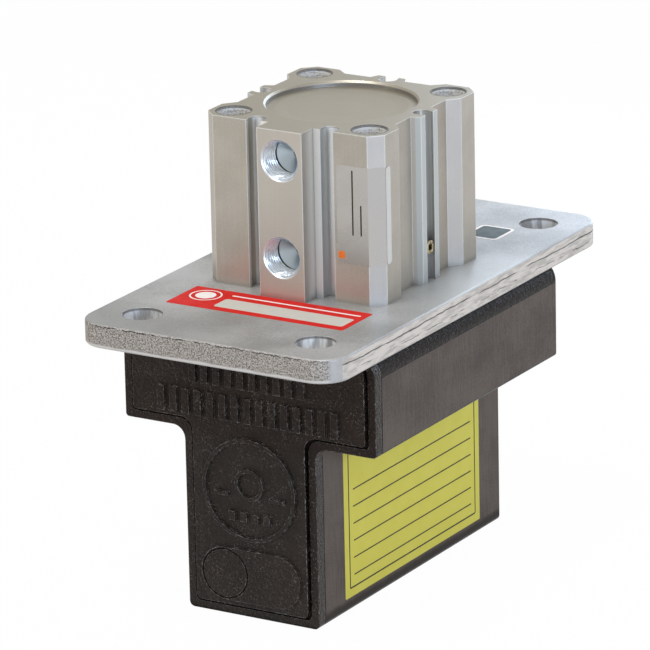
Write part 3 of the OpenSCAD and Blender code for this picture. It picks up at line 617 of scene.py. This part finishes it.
# the finish of each solid
nodeFinish = {
    "mounting_plate": "plate", "cylinder_body": "anodised", "head_cover": "anodised",
    "rod_cover": "anodised", "housing": "housing", "front_cap": "cap", "slot_screw": "brass",
    "head_cover_seal": "rubber", "rod_cover_seal": "rubber", "rod_seal": "rubber",
    "piston_seal": "rubber", "housing_gasket": "rubber", "rod_bush": "bronze",
    "retaining_ring": "blackSteel",
    "cylinder_screws": "zinc", "housing_screws": "zinc", "pole_screws": "zinc", "piston_nut": "zinc",
    "rod_nut": "zinc", "piston": "turned", "carriage_block": "turned", "piston_rod": "chrome",
    "piston_wear_ring": "glide", "glide_strips": "glide", "pole_plates": "poleSteel",
    "magnets": "nickel",
}
for nodeName, finish in nodeFinish.items():
    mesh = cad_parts[nodeName].data
    mesh.materials.clear()
    mesh.materials.append(finishes[finish])


def settle(piece, finish):
    # gives a finished piece its material. Every piece rides the fixed body: what moves is
    # hidden in the housing and stays as the solids have it
    piece.data.materials.clear()
    piece.data.materials.append(finishes[finish])
    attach(piece, fixedBody)
    return piece


softening = {"weldMm": 0.002, "flatDegrees": 0.4, "sharpDegrees": 30, "weight": 90}


def softenedCopy(node, name, finish, widthMm, segments=2):
    # a merged copy of a CAD node with its sharp edges rounded, in place of the node
    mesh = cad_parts[node].data.copy()
    mesh.name = name
    work = bmesh.new()
    work.from_mesh(mesh)
    bmesh.ops.remove_doubles(work, verts=work.verts, dist=softening["weldMm"] * mm)
    for vert in work.verts:
        # rounding may lift a softened edge by a micron
        vert.co.z = min(vert.co.z, cadBox[1][2] - softening["weldMm"] * mm)
    bmesh.ops.dissolve_limit(
        work, angle_limit=math.radians(softening["flatDegrees"]), verts=work.verts, edges=work.edges)
    work.to_mesh(mesh)
    work.free()
    piece = bpy.data.objects.new(name, mesh)
    bpy.context.collection.objects.link(piece)
    mesh.shade_smooth()
    bevel = piece.modifiers.new("softEdge", "BEVEL")
    bevel.width = widthMm * mm
    bevel.segments = segments
    bevel.limit_method = "ANGLE"
    bevel.angle_limit = math.radians(softening["sharpDegrees"])
    bevel.harden_normals = True
    bevel.use_clamp_overlap = True
    flatten = piece.modifiers.new("flatFaces", "WEIGHTED_NORMAL")
    flatten.weight = softening["weight"]
    flatten.keep_sharp = True
    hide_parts(node)
    return settle(piece, finish)


def surfacePiece(name, points, finish, closedAlong=False):
    # points is a grid (along, around, 3) in mm. Each row is a closed ring, and faces join it to the
    # next. The first and the last ring get one face each, unless they join too
    along, around = points.shape[:2]
    index = np.arange(along * around).reshape(along, around)
    lower = index if closedAlong else index[:-1]
    upper = np.roll(index, -1, 0) if closedAlong else index[1:]
    quads = np.stack([lower, np.roll(lower, -1, 1), np.roll(upper, -1, 1), upper], -1)
    faces = quads.reshape(-1, 4).tolist()
    if not closedAlong:
        faces += [index[0][::-1].tolist(), index[-1].tolist()]
    mesh = bpy.data.meshes.new(name)
    mesh.from_pydata((points.reshape(-1, 3) * mm).tolist(), [], faces)
    work = bmesh.new()
    work.from_mesh(mesh)
    bmesh.ops.recalc_face_normals(work, faces=work.faces)
    work.to_mesh(mesh)
    work.free()
    mesh.shade_smooth()
    mesh.set_sharp_from_angle(angle=math.radians(35))
    piece = bpy.data.objects.new(name, mesh)
    bpy.context.collection.objects.link(piece)
    return settle(piece, finish)


print("cast and machined bodies")

softEdges = {"plate": 0.22, "cylinder": 0.14, "housing": 0.35, "cap": 0.16}
softenedCopy("mounting_plate", "plateTumbled", "plate", softEdges["plate"], 3)
softenedCopy("cylinder_body", "cylinderExtrusion", "anodised",
             softEdges["cylinder"])
softenedCopy("housing", "housingBody", "housing", softEdges["housing"])
softenedCopy("front_cap", "capMoulding", "cap", softEdges["cap"])


print("port threads")

portThread = {"radius": 5.13, "wall": 0.08, "crest": 4.50, "pitch": 0.907, "start": 0.45, "length": 5.9,
              "mouthY": -31.0, "around": 72, "rowsPerTurn": 10, "fade": 0.5,
              "heights": {"upper": 36.5, "lower": 11.0}}


def threadPiece(name, height):
    # a tube whose inner radius is a blunted triangle wave of (depth / pitch - angle / full turn): a
    # helical thread that fades at both ends. The outer wall is a plain cylinder that closes it
    spec = portThread
    turn = np.linspace(0, 2 * np.pi, spec["around"], endpoint=False)
    rows = np.linspace(0, spec["length"], int(spec["length"] / spec["pitch"] * spec["rowsPerTurn"]))
    phase = (rows[:, None] / spec["pitch"] - turn[None, :] / (2 * np.pi)) % 1.0
    wave = np.clip(np.abs(2 * phase - 1) * 1.3 - 0.15, 0, 1)
    fade = np.clip(np.minimum(rows, spec["length"] - rows) / spec["fade"], 0, 1)[:, None]
    root = spec["radius"] - spec["wall"]
    inner = root - (root - spec["crest"]) * wave * fade
    outer = np.full((2, len(turn)), spec["radius"])
    radius = np.concatenate([inner, outer])
    run = np.concatenate([rows, [spec["length"], 0.0]])[:, None] + 0 * turn[None, :]
    points = np.stack([
        radius * np.cos(turn),
        spec["mouthY"] + spec["start"] + run,
        plateTop + height + radius * np.sin(turn),
    ], -1)
    return surfacePiece(name, points, "tapped", closedAlong=True)


for port, height in portThread["heights"].items():
    threadPiece(port + "PortThread", height)


print("labels")

# heights above the surface, in mm: a film, what is printed on it, and a printed line
filmLift = {"film": (0.05, -0.01), "print": (0.08, 0.03), "line": (0.07, 0.03)}


def labelPiece(name, place, length, width, corner, finish, slot, layer="film", folds=()):
    # a thin film: place(s, t, h) puts a point s along, t across and h above the surface.
    # its half width drops round each corner as on a circle
    lift, base = filmLift[layer]
    ends = np.concatenate([[0.0], corner * (1 - np.cos(np.linspace(0, np.pi / 2, 7)))[1:]])
    s = np.unique(np.concatenate([
        -length / 2 + ends, length / 2 - ends, np.linspace(-length / 2, length / 2, 25), folds]))
    edge = np.clip(corner - (length / 2 - np.abs(s)), 0, corner)
    half = width / 2 - (corner - np.sqrt(np.maximum(corner**2 - edge**2, 0)))
    t = np.array([-1.0, -0.5, 0.0, 0.5, 1.0, 1.0, 0.5, 0.0, -0.5, -1.0])
    h = np.array([lift] * 5 + [base] * 5)
    sGrid = s[:, None] + 0 * t[None, :]
    points = place(sGrid, half[:, None] * t[None, :], h[None, :] + 0 * sGrid)
    return surfacePiece(name, points, finish)


def borderPiece(name, place, length, width, corner, line, finish, slot):
    # a line of constant width round a rounded rectangle: a thin box, carried round the outline
    lift, base = filmLift["line"]
    arc = np.linspace(0, np.pi / 2, 7)
    centres = [(1, 1), (-1, 1), (-1, -1), (1, -1)]
    angles = np.concatenate([arc + k * np.pi / 2 for k in range(4)])
    cx = np.repeat([c[0] * (length / 2 - corner) for c in centres], len(arc))
    cy = np.repeat([c[1] * (width / 2 - corner) for c in centres], len(arc))
    offsets = np.array([corner, corner, corner - line, corner - line])
    heights = np.array([base, lift, lift, base])
    s = cx[:, None] + offsets[None, :] * np.cos(angles)[:, None]
    t = cy[:, None] + offsets[None, :] * np.sin(angles)[:, None]
    return surfacePiece(name, place(s, t, heights[None, :] + 0 * s), finish, closedAlong=True)


def onPlate(x0, y0):
    return lambda s, t, h: np.stack([x0 + s, y0 + t, plateTop + h], -1)


# parts are placed from the label's left and lower edges: x, y, length, width, corner
redLabel = {"x": 0.55, "y": -38.6, "length": 52.1, "width": 15.2, "corner": 0.5, "line": 0.45,
            "panel": (31.5, 5.8, 37.8, 6.6, 0.8), "disc": (6.2, 9.4, 5.4, 5.4, 2.69),
            "ring": (6.2, 9.4, 8.6, 8.6, 4.29), "rule": (31.5, 12.0, 37.8, 0.7, 0.3)}


def onRedLabel(part):
    x, y, length, width, corner = redLabel[part]
    left, low = redLabel["x"] - redLabel["length"] / 2, redLabel["y"] - redLabel["width"] / 2
    return onPlate(left + x, low + y), length, width, corner


labelPiece("redLabel", onPlate(redLabel["x"], redLabel["y"]), redLabel["length"], redLabel["width"],
           redLabel["corner"], "redFilm", "plate_aluminium")
labelPiece("redLabelPanel", *onRedLabel("panel"), "paleFilm", "plate_aluminium", "print")
labelPiece("redLabelDisc", *onRedLabel("disc"), "whiteInk", "plate_aluminium", "print")
borderPiece("redLabelRing", *onRedLabel("ring"), redLabel["line"], "whiteInk", "plate_aluminium")
labelPiece("redLabelRule", *onRedLabel("rule"), "whiteInk", "plate_aluminium", "print")

plateTag = {"x": 18.0, "y": 44.0, "length": 10.0, "width": 11.0, "corner": 1.5,
            "edge": 0.8, "innerCorner": 1.0}
onTag = onPlate(plateTag["x"], plateTag["y"])
labelPiece("plateTagBorder", onTag, plateTag["length"], plateTag["width"], plateTag["corner"],
           "whiteInk", "plate_aluminium")
labelPiece("plateTag", onTag, plateTag["length"] - 2 * plateTag["edge"],
           plateTag["width"] - 2 * plateTag["edge"], plateTag["innerCorner"],
           "darkFilm", "plate_aluminium", "print")

yellowLabel = {"side": 19.4, "y": -0.5, "length": 69.6, "low": 3.8, "high": 47.4, "corner": 0.4,
               "inset": 2.2, "line": 0.42, "lineCorner": 0.5, "rules": 6, "ruleInset": 4.5, "rule": 0.35,
               "ruleCorner": 0.15, "firstRule": 9.4, "rulePitch": 4.6}


def onStem(y0, z0):
    return lambda s, t, h: np.stack([yellowLabel["side"] + h, y0 + s, z0 + t], -1)


yellowLong, yellowTall = yellowLabel["length"], yellowLabel["high"] - yellowLabel["low"]
onMiddle = onStem(yellowLabel["y"], (yellowLabel["low"] + yellowLabel["high"]) / 2)
labelPiece("yellowLabel", onMiddle, yellowLong, yellowTall, yellowLabel["corner"],
           "yellowFilm", "housing_plastic")
borderPiece("yellowLabelBorder", onMiddle, yellowLong - 2 * yellowLabel["inset"],
            yellowTall - 2 * yellowLabel["inset"], yellowLabel["lineCorner"], yellowLabel["line"],
            "darkInk", "housing_plastic")
for row in range(yellowLabel["rules"]):
    ruleHeight = yellowLabel["firstRule"] + yellowLabel["rulePitch"] * row
    labelPiece(f"yellowLabelRule{row + 1}", onStem(yellowLabel["y"], ruleHeight),
               yellowLong - 2 * yellowLabel["ruleInset"], yellowLabel["rule"], yellowLabel["ruleCorner"],
               "darkInk", "housing_plastic", "print")

# heights are counted from the plate. Rules and square: x, height of the middle, length
postLabel = {"low": 10.5, "high": 36.2, "startX": 13.6, "endY": -21.0, "face": 26.0, "leg": 3.3,
             "corner": 0.8, "bend": 0.3, "ruleA": (18.2, 26.6, 17.0), "ruleB": (20.6, 22.2, 8.0),
             "rule": 0.4, "ruleCorner": 0.15, "square": (14.8, 12.65, 1.9), "squareCorner": 0.1,
             "flapX": 26.05, "flapY": -21.55, "flapTall": 25.6, "flapWidth": 2.2, "flapCorner": 1.0}
slope = postLabel["leg"] * math.sqrt(2)
frontRun = postLabel["face"] - postLabel["leg"] - postLabel["startX"]
sideRun = postLabel["endY"] + postLabel["face"] - postLabel["leg"]
postLong = frontRun + slope + sideRun
postMid = plateTop + (postLabel["low"] + postLabel["high"]) / 2


def roundPost(s, t, h):
    # s runs along the front face, across the corner chamfer and on round the side
    s = s + postLong / 2
    onFront = np.clip(s, 0, frontRun)
    onChamfer = np.clip(s - frontRun, 0, slope) / math.sqrt(2)
    onSide = np.clip(s - frontRun - slope, 0, None)
    blendA = np.clip((s - frontRun) / postLabel["bend"] + 0.5, 0, 1)
    blendB = np.clip((s - frontRun - slope) / postLabel["bend"] + 0.5, 0, 1)
    outX = blendA * (1 - blendB) * math.sqrt(0.5) + blendB
    outY = -(1 - blendA) - blendA * (1 - blendB) * math.sqrt(0.5)
    return np.stack([postLabel["startX"] + onFront + onChamfer + outX * h,
                     -postLabel["face"] + onChamfer + onSide + outY * h, postMid + t + 0 * s], -1)


def onPostFront(x0, z0, upright):
    # s runs up the face for a rule, and across it for the square
    def place(s, t, h):
        dx, dz = (t, s) if upright else (s, t)
        return np.stack([x0 + dx, -postLabel["face"] - h, plateTop + z0 + dz], -1)
    return place


def onPostSide(s, t, h):
    return np.stack([postLabel["flapX"] + h, postLabel["flapY"] + t, postMid + s], -1)


halfBend = postLabel["bend"] / 2
folds = [k + d - postLong / 2 for k in (frontRun, frontRun + slope) for d in (-halfBend, 0.0, halfBend)]
labelPiece("postLabel", roundPost, postLong, postLabel["high"] - postLabel["low"], postLabel["corner"],
           "silverFilm", "anodised_aluminium", folds=folds)
for letter in "AB":
    x, z, long = postLabel["rule" + letter]
    labelPiece("postLabelRule" + letter, onPostFront(x, z, True), long, postLabel["rule"],
               postLabel["ruleCorner"], "darkInk", "anodised_aluminium", "print")
labelPiece("postLabelFlap", onPostSide, postLabel["flapTall"], postLabel["flapWidth"],
           postLabel["flapCorner"], "clearFilm", "anodised_aluminium", "print")
x, z, side = postLabel["square"]
labelPiece("postLabelSquare", onPostFront(x, z, False), side, side,
           postLabel["squareCorner"], "orangeInk", "anodised_aluminium", "print")


print("stage, light and camera")

# half the floor's width is in metres
stageLook = {"floor": "#ceccca", "floorHalf": 4.0, "floorSeen": 0.98, "floorMirrored": 0.80,
             "backdrop": 1.0, "mirrored": 0.72, "room": 0.62, "roomTint": "#fbf7f0"}


def seenStraight(tree, byCamera, byPolish):
    # byCamera for what the camera sees, byPolish for what a polished surface shows, 0 for what only
    # lights the object
    path = addNode(tree, "ShaderNodeLightPath")
    polish = larger(tree, path.outputs["Is Glossy Ray"], path.outputs["Is Transmission Ray"])
    straight = product(tree, path.outputs["Is Camera Ray"], byCamera)
    return larger(tree, straight, product(tree, polish, byPolish))


pureWhite = (1, 1, 1, 1)
floorMesh = bpy.data.meshes.new("studioFloor")
half = stageLook["floorHalf"]
corners = [(x * half, y * half, 0) for x, y in ((-1, -1), (1, -1), (1, 1), (-1, 1))]
floorMesh.from_pydata(corners, [], [(0, 1, 2, 3)])
floor = bpy.data.objects.new("studioFloor", floorMesh)
bpy.context.collection.objects.link(floor)
paper = bpy.data.materials.new("paperSweep")
tree = clearTree(paper)
matte = addNode(tree, "ShaderNodeBsdfDiffuse", {"Color": linearColour(stageLook["floor"])})
white = addNode(tree, "ShaderNodeEmission", {"Color": pureWhite, "Strength": 1.0})
share = seenStraight(tree, stageLook["floorSeen"], stageLook["floorMirrored"])
mixed = addNode(tree, "ShaderNodeMixShader", {
    0: share, 1: matte.outputs["BSDF"], 2: white.outputs["Emission"]})
addNode(tree, "ShaderNodeOutputMaterial", {"Surface": mixed.outputs["Shader"]})
floorMesh.materials.append(paper)

world = bpy.data.worlds.new("studio")
bpy.context.scene.world = world
tree = clearTree(world)
room = addNode(tree, "ShaderNodeBackground", {
    "Color": linearColour(stageLook["roomTint"]), "Strength": stageLook["room"]})
white = addNode(tree, "ShaderNodeBackground", {
    "Color": pureWhite, "Strength": seenStraight(tree, stageLook["backdrop"], stageLook["mirrored"])})
mixed = addNode(tree, "ShaderNodeMixShader", {
    0: seenStraight(tree, 1.0, 1.0), 1: room.outputs["Background"], 2: white.outputs["Background"]})
addNode(tree, "ShaderNodeOutputWorld", {"Surface": mixed.outputs["Shader"]})

# azimuth from the front towards +X, in degrees; height, distance and size in metres; power in watts
softBoxes = {
    "windowBox": (58, 0.36, 1.1, 0.32, 6.5, "#c2daff"),
    "leftBox": (-42, 0.55, 1.1, 0.16, 1.4, "#fff8f0"),
    "topBox": (-20, 1.5, 0.5, 0.5, 12.0, "#f6f8ff"),
    "rearCard": (180, 0.173, 0.377, 0.30, 1.3, "#c6dcf8"),
}
lampTarget = Vector((0, 0, 0.07))
for name, (azimuth, height, distance, size, power, tint) in softBoxes.items():
    light = bpy.data.lights.new(name, "AREA")
    light.shape = "SQUARE"
    light.size = size
    light.energy = power
    light.color = linearColour(tint)[:3]
    lamp = bpy.data.objects.new(name, light)
    turn = math.radians(azimuth)
    lamp.location = (math.sin(turn) * distance, -math.cos(turn) * distance, height)
    lamp.rotation_euler = (lampTarget - lamp.location).to_track_quat("-Z", "Y").to_euler()
    lamp.visible_camera = False
    bpy.context.collection.objects.link(lamp)

# shifts and distance are in mm from the middle of the plate's top
view = {"azimuth": 31.226, "elevation": 17.752, "roll": -1.237, "shiftX": -5.16, "shiftY": -14.84,
        "distance": 1459.5, "lens": 313.68, "sensor": 36.0, "clipEnd": 20.0}
turn, rise, roll = (math.radians(view[k]) for k in ("azimuth", "elevation", "roll"))
back = Vector((math.sin(turn) * math.cos(rise), -math.cos(turn) * math.cos(rise), math.sin(rise)))
right = Vector((0, 0, 1)).cross(back).normalized()
up = back.cross(right)
right, up = math.cos(roll) * right + math.sin(roll) * up, math.cos(roll) * up - math.sin(roll) * right
camera = bpy.data.objects.new("camera", bpy.data.cameras.new("camera"))
camera.data.lens = view["lens"]
camera.data.sensor_width = view["sensor"]
camera.data.clip_end = view["clipEnd"]
spotMm = Vector((0, 0, plateTop)) + view["distance"] * back
spotMm += view["shiftX"] * right + view["shiftY"] * up
camera.matrix_world = Matrix.Translation(spotMm * mm) @ Matrix((right, up, back)).transposed().to_4x4()
bpy.context.collection.objects.link(camera)
bpy.context.scene.camera = camera
bpy.context.scene.view_settings.view_transform = "Standard"
